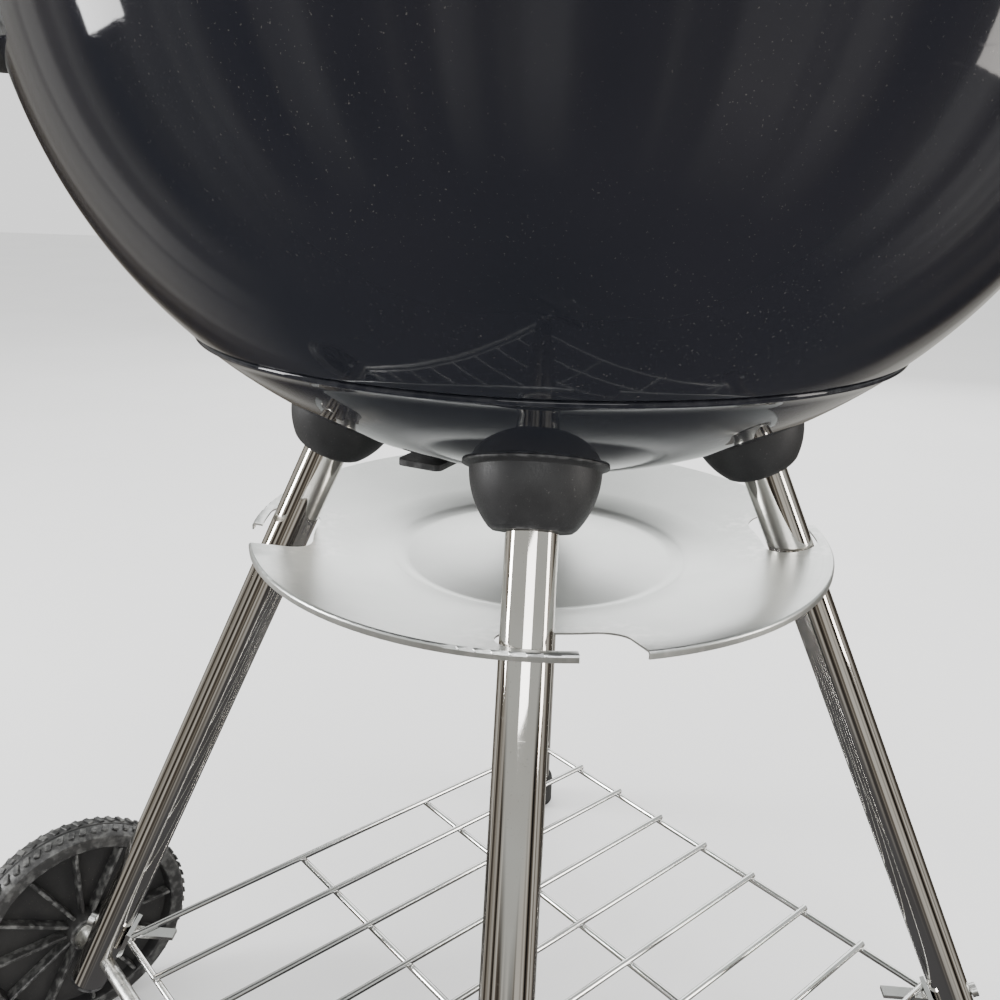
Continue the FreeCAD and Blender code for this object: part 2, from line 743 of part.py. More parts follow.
def make_bowl_damper():
    """Damper under the pan, its pin rivet, and the black tab riveted under its arm."""
    spots = []
    for third in range(3):
        hole = azimuth_vector(120 * third, size("vent_circle"), PAN_CENTRE.z)
        spots.append(Placement(hole, turned(Vector(0, 0, -1))))
    make_damper("bowl_damper", PAN_FRAME, PAN_SPHERE, 80, spots)
    make_rivet("bowl_damper_rivet", PAN_FRAME, PAN_SPHERE)
    reach = 71
    corner = 4
    under_arm = PAN_SPHERE + 0.35 + 1.2 + 0.1
    arm_level = PAN_CENTRE.z - math.sqrt(under_arm ** 2 - 60 ** 2)
    plate = doc.addObject("Part::Box", "damper_tab_plate")
    plate.Length = 27
    plate.Width = 27
    plate.Height = 3.5
    middle = azimuth_vector(DAMPER_TAB_AZIMUTH, reach, arm_level - 4)
    plate.Placement = Placement(middle, Rotation(UP, DAMPER_TAB_AZIMUTH + 38)).multiply(
        Placement(Vector(-13.5, -13.5, 0), Rotation()))
    rounded = doc.addObject("Part::Fillet", "damper_tab_rounded")
    rounded.Base = plate
    doc.recompute()
    upright = []
    for index, edge in enumerate(plate.Shape.Edges, start=1):
        if abs(edge.Length - 3.5) < 0.01:
            upright.append((index, corner, corner))
    rounded.Edges = upright
    stem_foot = azimuth_vector(DAMPER_TAB_AZIMUTH, reach - 6, arm_level - 2)
    stem = cylinder("damper_tab_stem", "4", "12", Placement(stem_foot, Rotation()))
    above = ball("damper_tab_above", under_arm, PAN_CENTRE)
    blank = fused("damper_tab_blank", [rounded, stem])
    return keep("damper_tab", cut("damper_tab", blank, [above]))


# ------------------------------------------------------------------------ lid
LID_RIM = size("rim_radius") - 2
LID_SEAT = size("rim_height") + size("lid_gap")
SHOULDER = (LID_RIM - size("lid_shoulder_arc"), LID_SEAT + 8)
SHOULDER_ANGLE = size("lid_shoulder_angle")
LID_SPHERE = size("lid_shoulder_arc") + SHOULDER[0] / math.cos(math.radians(SHOULDER_ANGLE))
LID_CENTRE = Vector(0, 0, SHOULDER[1] - SHOULDER[0] * math.tan(math.radians(SHOULDER_ANGLE)))
LID_VENT_LEAN = 28
LID_VENT_AZIMUTH = -40


def lid_vent_frame():
    """Placement of the lid's damper: the middle of the lid's sphere, +Z through the damper."""
    lean = math.radians(LID_VENT_LEAN)
    outward = azimuth_vector(LID_VENT_AZIMUTH, math.sin(lean), math.cos(lean))
    uphill = azimuth_vector(LID_VENT_AZIMUTH + 180, math.cos(lean), math.sin(lean))
    return facing(LID_CENTRE, outward, uphill)


def lid_vent_spots():
    """Placements of the three air holes round the lid damper's pin."""
    spots = []
    for third in range(3):
        turn = Placement(Vector(), Rotation(UP, 60 + 120 * third))
        step = Placement(Vector(size("vent_circle"), 0, 0), Rotation())
        spots.append(lid_vent_frame().multiply(turn).multiply(step))
    return spots


def make_lid():
    """Domed lid with a round shoulder, a ledge that sits on the rim and a short skirt."""
    skirt = LID_SEAT - size("lid_gap") - size("lid_skirt_depth")
    outside = size("rim_radius") + size("rim_roll") + 2.8
    arc = size("lid_shoulder_arc")
    crown = LID_CENTRE.z + LID_SPHERE
    crown_lean = 90 - (90 - SHOULDER_ANGLE) / 2
    middle = (0, LID_CENTRE.z)
    outer_end = on_arc(SHOULDER, arc, SHOULDER_ANGLE)
    inner_end = on_arc(SHOULDER, arc - SHEET, SHOULDER_ANGLE)
    steps = [(*on_arc(middle, LID_SPHERE, crown_lean), *outer_end),
             (*on_arc(SHOULDER, arc, SHOULDER_ANGLE / 2), LID_RIM, SHOULDER[1]),
             (LID_RIM, LID_SEAT + SHEET), (outside, LID_SEAT + SHEET), (outside, skirt),
             (outside - SHEET, skirt), (outside - SHEET, LID_SEAT), (LID_RIM - SHEET, LID_SEAT),
             (LID_RIM - SHEET, SHOULDER[1]),
             (*on_arc(SHOULDER, arc - SHEET, SHOULDER_ANGLE / 2), *inner_end),
             (*on_arc(middle, LID_SPHERE - SHEET, crown_lean), 0, crown - SHEET), (0, crown)]
    body = turned_body("lid", (0, crown), steps, [
        (5, 2, "Sizes.rim_radius + Sizes.rim_roll + 2.8 - Sizes.steel_sheet"),
        (7, 2, "Sizes.rim_radius - 2 - Sizes.steel_sheet", "Sizes.rim_height + Sizes.lid_gap")])
    holes = [cylinder("lid_rivet_hole", "3.1", str(LID_SPHERE * 1.2), lid_vent_frame())]
    for spot in lid_vent_spots():
        holes.append(cylinder("lid_vent", "Sizes.vent_radius", str(LID_SPHERE * 1.2), spot))
    for place in handle_screw_places(*LID_HANDLE):
        holes.append(screw_hole(place))
    return keep("kettle_lid", cut("kettle_lid", body, holes))


# -------------------------------------------------------------------- handles
# A handle's frame sits on the shell: +Z out of the shell and +X along the grip.
FOOT_ACROSS = 74
UPRIGHT_ACROSS = 61
STRAP = 2.5
STRAP_WIDTH = 18
FOOT_GAP = 0.6


def side_handle(side):
    """Frame and shell radius of a side handle, 40 mm below the rim."""
    height = size("rim_height") - 40
    down = math.asin((SIDE_CENTRE[1] - height) / size("side_arc"))
    radius = SIDE_CENTRE[0] + size("side_arc") * math.cos(down)
    outward = Vector(side * math.cos(down), 0, -math.sin(down))
    return facing(Vector(side * radius, 0, height), outward, Vector(0, side, 0)), radius


LID_HANDLE = (facing(LID_CENTRE + Vector(0, 0, LID_SPHERE), UP, Vector(1, 0, 0)), LID_SPHERE)
HANDLES = {"lid_handle": LID_HANDLE, "right_handle": side_handle(1), "left_handle": side_handle(-1)}


def handle_screw_places(frame, curve):
    """Placements on the shell under the two feet of a handle's bracket, +Z out of the shell."""
    places = []
    lean = math.degrees(math.asin(FOOT_ACROSS / curve))
    for way in (-1, 1):
        across = way * FOOT_ACROSS
        sag = curve - math.sqrt(curve ** 2 - FOOT_ACROSS ** 2)
        tilt = Rotation(Vector(0, 1, 0), way * lean)
        places.append(frame.multiply(Placement(Vector(across, 0, -sag), tilt)))
    return places


def screw_hole(place):
    return cylinder("screw_hole", "2.3", "24", place.multiply(
        Placement(Vector(0, 0, -12), Rotation())))


def make_bracket(name, frame, curve):
    """Steel strap bent into a U, with a drilled foot screwed to the shell at each end."""
    pieces = []
    holes = []
    reach = size("grip_reach")
    for way, place in zip((-1, 1), handle_screw_places(frame, curve)):
        foot = block(name + "_foot", 26, STRAP_WIDTH, STRAP, place.multiply(
            Placement(Vector(0, 0, FOOT_GAP), Rotation())))
        low = math.sqrt(curve ** 2 - UPRIGHT_ACROSS ** 2) - curve + 1.0
        middle = way * (UPRIGHT_ACROSS + STRAP / 2)
        upright = block(name + "_upright", STRAP, STRAP_WIDTH, reach + 9 - low, frame.multiply(
            Placement(Vector(middle, 0, low), Rotation())))
        pieces += [foot, upright]
        holes.append(screw_hole(place))
    through = frame.multiply(Placement(Vector(-80, 0, reach), turned(Vector(1, 0, 0))))
    holes.append(cylinder(name + "_grip_hole", "2.2", "160", through))
    return keep(name + "_bracket", cut(name + "_bracket", fused(name + "_strap", pieces), holes))


def make_grip(name, frame):
    """Barrel-shaped moulded grip between the uprights, drilled for a screw at each end."""
    half = size("grip_length") / 2
    end = size("grip_diameter") / 2 - 3
    belly = size("grip_diameter") / 2
    hole = 2.06
    deep = 20
    steps = [(end, -half), (end + 1.5, -half + 2), (belly, 0, end + 1.5, half - 2), (end, half),
             (hole, half), (hole, half - deep), (0, half - deep), (0, -half + deep),
             (hole, -half + deep), (hole, -half)]
    body = turned_body(name + "_grip", (hole, -half), steps, [
        (0, 2, "Sizes.grip_diameter / 2 - 3")])
    body.Placement = frame.multiply(Placement(Vector(0, 0, size("grip_reach")),
                                              turned(Vector(1, 0, 0))))
    return keep(name + "_grip", body)


def make_screws(group_name, handle_names):
    """Screws of some handles: one through each foot and the shell, one into each grip end."""
    screws = []
    for name in handle_names:
        frame, curve = HANDLES[name]
        seat = FOOT_GAP + STRAP + 0.1
        for place in handle_screw_places(frame, curve):
            head = cylinder("screw_head", "4.5", "2.6", place.multiply(
                Placement(Vector(0, 0, seat), Rotation())))
            shank = cylinder("screw_shank", "2.2", "12", place.multiply(
                Placement(Vector(0, 0, seat - 10), Rotation())))
            nut = cylinder("screw_nut", "4.2", "3", place.multiply(
                Placement(Vector(0, 0, -SHEET - 3.5), Rotation())))
            screws.append(fused("shell_screw", [head, shank, nut]))
        for way in (-1, 1):
            start = frame.multiply(Placement(
                Vector(way * (UPRIGHT_ACROSS + STRAP + 0.1), 0, size("grip_reach")),
                turned(Vector(way, 0, 0))))
            head = cylinder("grip_screw_head", "4.5", "2.6", start)
            shank = cylinder("grip_screw_shank", "2", "20", start.multiply(
                Placement(Vector(0, 0, -19), Rotation())))
            screws.append(fused("grip_screw", [head, shank]))
    group = doc.addObject("Part::Compound", group_name)
    group.Links = screws
    return keep(group_name, group)


# ------------------------------------------------------------ build and write
make_bowl()
make_grate_rests()
make_bowl_damper()
for leg_name in LEG_AZIMUTH:
    make_cup(leg_name)
    make_leg(leg_name)
    if leg_name in WHEEL_LEGS:
        make_leg_plug(leg_name)
        make_wheel(leg_name)
        make_wheel_cap(leg_name)
    else:
        make_foot(leg_name)
make_leg_bolts()
make_leg_inserts()
make_ash_catcher()
make_rack()
make_rack_bolts()
make_axle()
make_axle_washers()
make_grate("cooking_grate", size("grate_radius"), COOK_HEIGHT, size("grate_pitch"),
           size("grate_wire"))
make_grate("charcoal_grate", size("coal_grate_radius"), COAL_HEIGHT, 24, 5)
make_lid()
make_damper("lid_damper", lid_vent_frame(), LID_SPHERE, 72, lid_vent_spots())
make_rivet("lid_damper_rivet", lid_vent_frame(), LID_SPHERE)
for handle_name, handle_place in HANDLES.items():
    make_bracket(handle_name, *handle_place)
    make_grip(handle_name, handle_place[0])
make_screws("lid_handle_screws", ["lid_handle"])
make_screws("side_handle_screws", ["right_handle", "left_handle"])

shift = Vector(size("footprint_shift"), size("footprint_shift"), 0)
for thing in finished.values():
    thing.Placement = Placement(shift, Rotation()).multiply(thing.Placement)
doc.recompute()
for thing in doc.Objects:
    if "Invalid" in thing.State or "Error" in thing.State:
        raise RuntimeError("failed object: %s %s" % (thing.Name, thing.State))
os.makedirs("parts", exist_ok=True)
for node, thing in finished.items():
    if thing.Shape.isNull() or not thing.Shape.isValid():
        raise RuntimeError("bad shape: " + node)
    thing.Shape.exportStep("parts/%s.step" % node)
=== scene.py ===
import bpy
import math
from mathutils import Matrix, Vector


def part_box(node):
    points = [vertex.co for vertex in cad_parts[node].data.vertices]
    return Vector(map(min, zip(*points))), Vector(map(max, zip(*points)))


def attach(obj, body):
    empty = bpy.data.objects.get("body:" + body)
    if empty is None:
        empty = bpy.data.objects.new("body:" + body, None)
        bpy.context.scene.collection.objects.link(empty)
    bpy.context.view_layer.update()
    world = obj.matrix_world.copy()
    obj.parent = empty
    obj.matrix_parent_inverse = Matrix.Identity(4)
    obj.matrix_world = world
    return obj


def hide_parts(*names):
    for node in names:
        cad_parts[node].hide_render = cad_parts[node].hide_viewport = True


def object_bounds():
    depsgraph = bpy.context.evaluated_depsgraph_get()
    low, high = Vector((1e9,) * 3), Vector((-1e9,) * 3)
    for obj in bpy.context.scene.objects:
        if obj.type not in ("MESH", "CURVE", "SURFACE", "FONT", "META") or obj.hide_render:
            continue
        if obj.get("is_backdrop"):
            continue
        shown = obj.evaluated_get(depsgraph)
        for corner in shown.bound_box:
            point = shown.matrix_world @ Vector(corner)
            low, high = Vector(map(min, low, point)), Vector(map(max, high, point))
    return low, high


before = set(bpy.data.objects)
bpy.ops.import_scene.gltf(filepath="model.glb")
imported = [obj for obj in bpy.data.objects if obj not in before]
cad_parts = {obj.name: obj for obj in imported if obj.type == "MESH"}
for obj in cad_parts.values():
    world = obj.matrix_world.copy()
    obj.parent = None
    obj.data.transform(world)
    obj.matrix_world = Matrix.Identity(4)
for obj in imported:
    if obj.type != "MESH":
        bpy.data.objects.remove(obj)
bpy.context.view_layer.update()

# ---------------------------------------------------------------- kettle bowl
# Deep bowl pressed from 1.5 mm steel sheet, with a rolled rim, a stepped ring and a shallow pan.
# It is dipped and fired in glossy black glass enamel; three air holes are punched in the pan.
BOWL_RIM = 0.270
BOWL_TOP = 0.735
RIM_ROLL = 0.004
SHEET = 0.0015
SIDE_RADIUS = 0.240
SIDE_MIDDLE = (0.030, 0.727)
STEP_ACROSS = 0.192
PAN_ACROSS = 0.1895
STEP_DROP = 0.003
EASE = 0.0014
BEAD = 0.0016
BEAD_PROUD = 0.0004
PAN_LOW = 0.475
STEP_TOP = SIDE_MIDDLE[1] - math.sqrt(SIDE_RADIUS ** 2 - (STEP_ACROSS - SIDE_MIDDLE[0]) ** 2)
PAN_RISE = STEP_TOP - STEP_DROP - PAN_LOW
PAN_SPHERE = (PAN_ACROSS ** 2 + PAN_RISE ** 2) / (2 * PAN_RISE)
PAN_MIDDLE = (0.0, PAN_LOW + PAN_SPHERE)
VENT_HOLE = 0.011
VENT_CIRCLE = 0.034
VENT_COUNT = 3
PAN_CUT = 0.040
BOWL_TURNS = 192
WALL_STEPS = 44
PAN_STEPS = 40
ROLL_STEPS = 14
SOFT_ANGLE = 25
BOWL_MIDDLE = Vector((0.0199, 0.0199, 0))


def arc_points(middle, radius, start, end, count):
    """Points of an arc in the (across, height) plane, angles in degrees from straight out."""
    points = []
    for step in range(count + 1):
        angle = math.radians(start + (end - start) * step / count)
        points.append((middle[0] + radius * math.cos(angle), middle[1] + radius * math.sin(angle)))
    return points


def eased_corner(before, corner, after, count):
    """Points of a soft bend pressed between two runs that would meet at a corner."""
    points = []
    for step in range(1, count):
        t = step / count
        across = (1 - t) ** 2 * before[0] + 2 * t * (1 - t) * corner[0] + t * t * after[0]
        height = (1 - t) ** 2 * before[1] + 2 * t * (1 - t) * corner[1] + t * t * after[1]
        points.append((across, height))
    return points


def start_vertex(name, across, height):
    """A new mesh of one vertex, in edit mode with that vertex selected."""
    bpy.ops.object.select_all(action="DESELECT")
    bpy.ops.mesh.primitive_plane_add(size=0.01, location=(across, 0, height))
    piece = bpy.context.object
    piece.name = name
    piece.data.name = name
    bpy.ops.object.transform_apply(location=True, rotation=True, scale=True)
    bpy.ops.object.mode_set(mode="EDIT")
    bpy.ops.mesh.select_all(action="SELECT")
    bpy.ops.mesh.merge(type="CENTER")
    return piece


def spun(name, outline, turns, sharp, closed=False):
    """Piece spun round the upright axis from an outline of (across, height) points.

    With closed, the last point is first joined to the first, for an outline that clears the axis.
    """
    piece = start_vertex(name, outline[0][0], outline[0][1])
    here = outline[0]
    for spot in outline[1:]:
        step = (spot[0] - here[0], 0, spot[1] - here[1])
        bpy.ops.mesh.extrude_region_move(TRANSFORM_OT_translate={"value": step})
        here = spot
    if closed:
        bpy.ops.mesh.select_all(action="DESELECT")
        bpy.ops.object.mode_set(mode="OBJECT")
        piece.data.vertices[0].select = True
        piece.data.vertices[-1].select = True
        bpy.ops.object.mode_set(mode="EDIT")
        bpy.ops.mesh.edge_face_add()
    bpy.ops.mesh.select_all(action="SELECT")
    bpy.ops.mesh.spin(steps=turns, angle=math.tau, center=(0, 0, 0), axis=(0, 0, 1))
    bpy.ops.mesh.select_all(action="SELECT")
    bpy.ops.mesh.remove_doubles(threshold=0.00001)
    bpy.ops.mesh.dissolve_degenerate(threshold=0.000001)
    bpy.ops.mesh.select_all(action="SELECT")
    bpy.ops.mesh.normals_make_consistent(inside=False)
    bpy.ops.object.mode_set(mode="OBJECT")
    bpy.ops.object.shade_smooth_by_angle(angle=math.radians(sharp))
    return piece


def punched(piece, cutters):
    """Cuts holes through a piece with other pieces, which are then thrown away."""
    for cutter in cutters:
        bpy.ops.object.select_all(action="DESELECT")
        bpy.context.view_layer.objects.active = piece
        piece.select_set(True)
        tool = piece.modifiers.new("hole", "BOOLEAN")
        tool.operation = "DIFFERENCE"
        tool.solver = "EXACT"
        tool.object = cutter
        bpy.ops.object.modifier_apply(modifier=tool.name)
        bpy.data.objects.remove(cutter)
    return piece


def hole_cutter(place, radius, depth):
    """Cylinder used to cut one round hole."""
    bpy.ops.object.select_all(action="DESELECT")
    bpy.ops.mesh.primitive_cylinder_add(vertices=40, radius=radius, depth=depth)
    cutter = bpy.context.object
    cutter.data.transform(place)
    return cutter


def noise_field(tree, scale, detail=3.0, rough=0.55, stretch=(1, 1, 1)):
    """Noise on the piece's own coordinates, stretched along its axes."""
    spot = tree.nodes.new("ShaderNodeTexCoord")
    mapping = tree.nodes.new("ShaderNodeMapping")
    mapping.inputs["Scale"].default_value = stretch
    field = tree.nodes.new("ShaderNodeTexNoise")
    field.inputs["Scale"].default_value = scale
    field.inputs["Detail"].default_value = detail
    field.inputs["Roughness"].default_value = rough
    tree.links.new(spot.outputs["Object"], mapping.inputs["Vector"])
    tree.links.new(mapping.outputs["Vector"], field.inputs["Vector"])
    return field.outputs["Fac"]


def ramp(tree, source, stops):
    """Colour ramp from a field: stops are (place, (r, g, b)) or (place, value)."""
    node = tree.nodes.new("ShaderNodeValToRGB")
    band = node.color_ramp
    while len(band.elements) < len(stops):
        band.elements.new(0.5)
    for element, (place, tint) in zip(band.elements, stops):
        element.position = place
        shade = tint if isinstance(tint, tuple) else (tint, tint, tint)
        element.color = (*shade, 1)
    tree.links.new(source, node.inputs["Fac"])
    return node.outputs["Color"]


def mixed(tree, amount, first, second):
    """Colour mixed between two colours or sockets by a mask socket."""
    node = tree.nodes.new("ShaderNodeMix")
    node.data_type = "RGBA"
    tree.links.new(amount, node.inputs["Factor"])
    for socket, value in ((node.inputs[6], first), (node.inputs[7], second)):
        if isinstance(value, tuple):
            socket.default_value = (*value, 1)
        else:
            tree.links.new(value, socket)
    return node.outputs[2]


def new_group(name, outputs):
    """Shared effect: a shader node group whose outputs are named fields and colours."""
    group = bpy.data.node_groups.new(name, "ShaderNodeTree")
    for label, kind in outputs:
        group.interface.new_socket(name=label, in_out="OUTPUT", socket_type=kind)
    return group, group.nodes.new("NodeGroupOutput")


# Edge wear shared by the enamelled, plated and moulded finishes, broken along convex edges.
wear_group, wear_out = new_group("edge_wear", [("Wear", "NodeSocketFloat")])
geometry = wear_group.nodes.new("ShaderNodeNewGeometry")
edge_band = ramp(wear_group, geometry.outputs["Pointiness"], [(0.505, 0.0), (0.56, 1.0)])
edge_break = ramp(wear_group, noise_field(wear_group, 180.0, 4.0), [(0.45, 0.0), (0.65, 1.0)])
edge_times = wear_group.nodes.new("ShaderNodeMath")
edge_times.operation = "MULTIPLY"
wear_group.links.new(edge_band, edge_times.inputs[0])
wear_group.links.new(edge_break, edge_times.inputs[1])
wear_group.links.new(edge_times.outputs[0], wear_out.inputs["Wear"])

# Dust and fine handling marks shared by every finish.
dust_group, dust_out = new_group("fine_dust", [("Dust", "NodeSocketFloat"),
                                               ("Marks", "NodeSocketFloat")])
dust_fine = ramp(dust_group, noise_field(dust_group, 900.0, 2.0), [(0.68, 0.0), (0.76, 1.0)])
dust_patch = ramp(dust_group, noise_field(dust_group, 9.0, 3.0), [(0.42, 0.15), (0.66, 1.0)])
dust_times = dust_group.nodes.new("ShaderNodeMath")
dust_times.operation = "MULTIPLY"
dust_group.links.new(dust_fine, dust_times.inputs[0])
dust_group.links.new(dust_patch, dust_times.inputs[1])
dust_group.links.new(dust_times.outputs[0], dust_out.inputs["Dust"])
mark_lines = ramp(dust_group, noise_field(dust_group, 60.0, 5.0, 0.6, (1, 1, 9)),
                  [(0.60, 0.0), (0.72, 1.0)])
dust_group.links.new(mark_lines, dust_out.inputs["Marks"])


def shared(tree, group):
    """A shared effect used in one finish."""
    node = tree.nodes.new("ShaderNodeGroup")
    node.node_tree = group
    return node


def new_finish(name):
    """New material with its node tree and its shader."""
    material = bpy.data.materials.new(name)
    material.use_nodes = True
    tree = material.node_tree
    shader = tree.nodes["Principled BSDF"]
    return material, tree, shader


def bumped(tree, shader, height, strength, distance):
    """Surface relief from a height field."""
    bump = tree.nodes.new("ShaderNodeBump")
    bump.inputs["Strength"].default_value = strength
    bump.inputs["Distance"].default_value = distance
    tree.links.new(height, bump.inputs["Height"])
    tree.links.new(bump.outputs["Normal"], shader.inputs["Normal"])


# Glass enamel: near black, wet gloss, slight orange peel, dust specks and faint scuffs.
enamel, tree, shader = new_finish("black_enamel")
dust = shared(tree, dust_group)
wear = shared(tree, wear_group)
depth_tint = ramp(tree, noise_field(tree, 5.0), [(0.3, (0.008, 0.009, 0.012)),
                                                 (0.7, (0.012, 0.012, 0.015))])
dusted = mixed(tree, dust.outputs["Dust"], depth_tint, (0.08, 0.075, 0.07))
scuffed = mixed(tree, wear.outputs["Wear"], dusted, (0.05, 0.05, 0.055))
tree.links.new(scuffed, shader.inputs["Base Color"])
gloss = ramp(tree, dust.outputs["Marks"], [(0.0, 0.045), (1.0, 0.13)])
tree.links.new(gloss, shader.inputs["Roughness"])
shader.inputs["IOR"].default_value = 1.5
shader.inputs["Specular IOR Level"].default_value = 0.3
bumped(tree, shader, noise_field(tree, 70.0, 2.0), 0.05, 0.0006)


def finished(piece, material, node_slot, body, *nodes):
    """Gives a piece its finish, its body and the plain nodes it stands for."""
    piece.data.materials.clear()
    piece.data.materials.append(material)
    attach(piece, body)
    if nodes:
        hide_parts(*nodes)
    return piece


pan_slope = math.degrees(math.asin(PAN_ACROSS / PAN_SPHERE))
step_turn = math.degrees(math.asin((STEP_TOP - SIDE_MIDDLE[1]) / SIDE_RADIUS))
pan_end = pan_slope - math.degrees(EASE / PAN_SPHERE)
side_start = step_turn + math.degrees(EASE / SIDE_RADIUS)
bead_middle = (PAN_ACROSS + BEAD_PROUD, STEP_TOP - BEAD)
bowl_outline = arc_points(PAN_MIDDLE, PAN_SPHERE, -90, -90 + pan_end, PAN_STEPS)
bowl_outline[0] = (0.0, PAN_LOW)
side_arc = arc_points(SIDE_MIDDLE, SIDE_RADIUS, side_start, 0, WALL_STEPS)
bowl_outline += arc_points(bead_middle, BEAD, -75, 80, ROLL_STEPS)
bowl_outline += eased_corner(bowl_outline[-1], (STEP_ACROSS, STEP_TOP), side_arc[0], 6)
bowl_outline += side_arc
roll_middle = (BOWL_RIM, BOWL_TOP - RIM_ROLL)
bowl_outline += arc_points(roll_middle, RIM_ROLL, -90, 90, ROLL_STEPS)[1:]
inner_side = SIDE_RADIUS - SHEET
inner_pan = PAN_SPHERE - SHEET
inner_turn = math.degrees(math.acos((STEP_ACROSS - SHEET - SIDE_MIDDLE[0]) / inner_side))
inner_slope = math.degrees(math.asin((PAN_ACROSS - SHEET) / inner_pan))
bowl_outline += [(BOWL_RIM - SHEET, BOWL_TOP)]
bowl_outline += arc_points(SIDE_MIDDLE, inner_side, 0, -inner_turn, WALL_STEPS)
bowl_outline += arc_points(PAN_MIDDLE, inner_pan, -90 + inner_slope, -90, PAN_STEPS)
bowl_outline[-1] = (0.0, PAN_LOW + SHEET)
bowl = spun("enamelled_bowl", bowl_outline, BOWL_TURNS, SOFT_ANGLE)
vent_cutters = []
for number in range(VENT_COUNT):
    turn = math.tau * number / VENT_COUNT
    spot = (VENT_CIRCLE * math.cos(turn), VENT_CIRCLE * math.sin(turn), PAN_LOW)
    vent_cutters.append(hole_cutter(Matrix.Translation(spot), VENT_HOLE, PAN_CUT))
punched(bowl, vent_cutters)
bpy.ops.object.shade_smooth_by_angle(angle=math.radians(SOFT_ANGLE))
bowl.data.transform(Matrix.Translation(BOWL_MIDDLE))
finished(bowl, enamel, "enamel", "stand_and_bowl", "kettle_bowl")

# ------------------------------------------------------------------------ lid
# Domed lid pressed from the same sheet: a round shoulder, a ledge that sits on the bowl's rim
# and a short skirt outside it. Enamelled like the bowl, with three air holes under its damper.
LID_RIM = 0.268
LID_SEAT = 0.7353
SHOULDER_RADIUS = 0.150
SHOULDER_TURN = 50
SHOULDER_MIDDLE = (LID_RIM - SHOULDER_RADIUS, LID_SEAT + 0.008)
LID_SPHERE = SHOULDER_RADIUS + SHOULDER_MIDDLE[0] / math.cos(math.radians(SHOULDER_TURN))
LID_MIDDLE = (0.0, SHOULDER_MIDDLE[1] - SHOULDER_MIDDLE[0] * math.tan(math.radians(SHOULDER_TURN)))
LID_OUTSIDE = BOWL_RIM + RIM_ROLL + 0.0028
SKIRT_LOW = BOWL_TOP - 0.014
LEDGE_BEND = 0.001
SKIRT_BEND = 0.0012
HEM_OUTSIDE = 0.0004
HEM_INSIDE = 0.0003
CROWN_STEPS = 40
SHOULDER_STEPS = 30
CROWN_CUT = 0.030
CROWN_CUT_INSET = 0.004
VENT_LEAN = math.radians(28)
VENT_AZIMUTH = math.radians(-40)

lid_outline = arc_points(LID_MIDDLE, LID_SPHERE, 90, SHOULDER_TURN, CROWN_STEPS)
lid_outline[0] = (0.0, LID_MIDDLE[1] + LID_SPHERE)
lid_outline += arc_points(SHOULDER_MIDDLE, SHOULDER_RADIUS, SHOULDER_TURN, 0, SHOULDER_STEPS)[1:]
lid_outline += arc_points((LID_RIM + LEDGE_BEND, LID_SEAT + SHEET + LEDGE_BEND),
                          LEDGE_BEND, 180, 270, 4)
lid_outline += arc_points((LID_OUTSIDE - SKIRT_BEND, LID_SEAT + SHEET - SKIRT_BEND),
                          SKIRT_BEND, 90, 0, 5)
lid_outline += [(LID_OUTSIDE, SKIRT_LOW + HEM_OUTSIDE), (LID_OUTSIDE - HEM_OUTSIDE, SKIRT_LOW),
                (LID_OUTSIDE - SHEET + HEM_INSIDE, SKIRT_LOW),
                (LID_OUTSIDE - SHEET, SKIRT_LOW + HEM_OUTSIDE),
                (LID_OUTSIDE - SHEET, LID_SEAT), (LID_RIM - SHEET, LID_SEAT)]
lid_outline += arc_points(SHOULDER_MIDDLE, SHOULDER_RADIUS - SHEET, 0, SHOULDER_TURN,
                          SHOULDER_STEPS)
lid_outline += arc_points(LID_MIDDLE, LID_SPHERE - SHEET, SHOULDER_TURN, 90, CROWN_STEPS)[1:]
lid_outline[-1] = (0.0, LID_MIDDLE[1] + LID_SPHERE - SHEET)
lid = spun("enamelled_lid", lid_outline, BOWL_TURNS, SOFT_ANGLE)
vent_out = Vector((math.sin(VENT_LEAN) * math.cos(VENT_AZIMUTH),
                   math.sin(VENT_LEAN) * math.sin(VENT_AZIMUTH), math.cos(VENT_LEAN)))
vent_up = Vector((-math.cos(VENT_LEAN) * math.cos(VENT_AZIMUTH),
                  -math.cos(VENT_LEAN) * math.sin(VENT_AZIMUTH), math.sin(VENT_LEAN)))
vent_side = vent_out.cross(vent_up)
vent_turned = Matrix((vent_up, vent_side, vent_out)).transposed().to_4x4()
lid_cutters = []
for number in range(VENT_COUNT):
    turn = Matrix.Rotation(math.tau * (number + 0.5) / VENT_COUNT, 4, "Z")
    place = Matrix.Translation((0, 0, LID_MIDDLE[1])) @ vent_turned @ turn
    place = place @ Matrix.Translation((VENT_CIRCLE, 0, LID_SPHERE - CROWN_CUT_INSET))
    lid_cutters.append(hole_cutter(place, VENT_HOLE, CROWN_CUT))
punched(lid, lid_cutters)
bpy.ops.object.shade_smooth_by_angle(angle=math.radians(SOFT_ANGLE))
lid.data.transform(Matrix.Translation(BOWL_MIDDLE))
finished(lid, enamel, "enamel", "lid", "kettle_lid")

# ------------------------------------------------------------------- leg cups
# Four moulded black cups that seat the legs against the pan: a thin flange and a body that
# tapers to the tube in a soft curve. Heat-proof moulding with a fine sparkle grain, left dull.
LEG_SIDES = ("front", "right", "back", "left")

